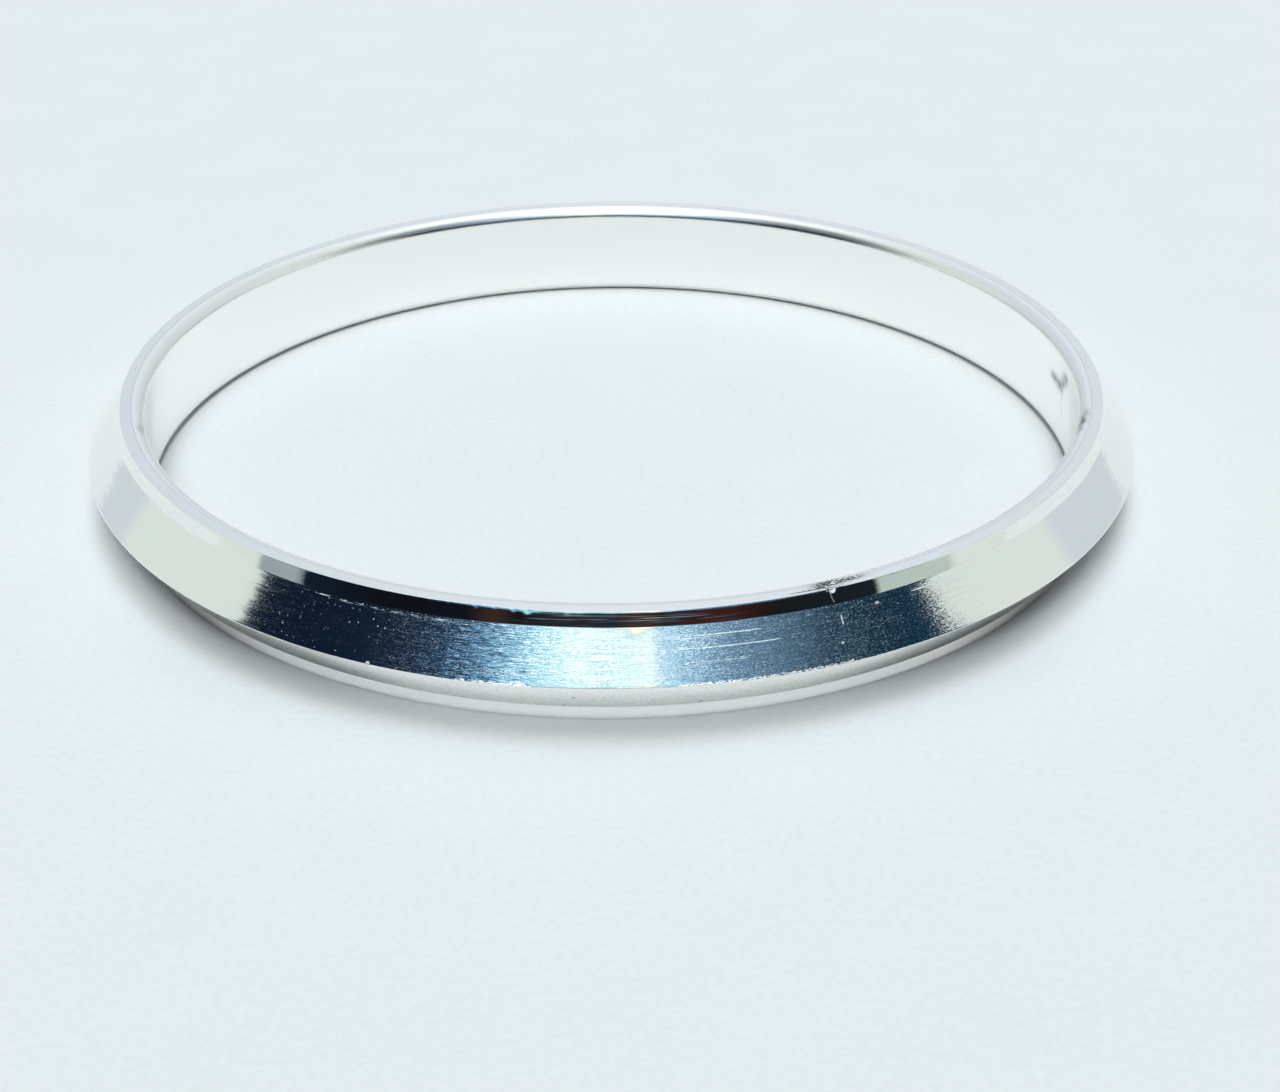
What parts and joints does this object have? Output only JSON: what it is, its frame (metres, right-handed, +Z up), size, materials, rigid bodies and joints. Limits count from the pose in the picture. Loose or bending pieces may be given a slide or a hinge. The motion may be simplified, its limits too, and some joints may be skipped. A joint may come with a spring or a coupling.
{
  "type": "kada bangle",
  "caption": "Closed round metal bangle, a turned band with a sharp middle ridge, flat rims and a smooth inner wall, slipped over the hand and worn on the wrist.",
  "frame": {"origin": "on the ring's axis, level with the lower rim, on the surface it lies on", "axes": "+Z up along the ring's axis, +X and +Y across the ring, with -Y at the side that faces the viewer"},
  "size_m": [0.0752, 0.0752, 0.0075],
  "materials": {
    "silver": "polished silver, with fine turning lines round the sloping faces"
  },
  "bodies": {
    "root": {"bangle": "silver"}
  },
  "joints": []
}
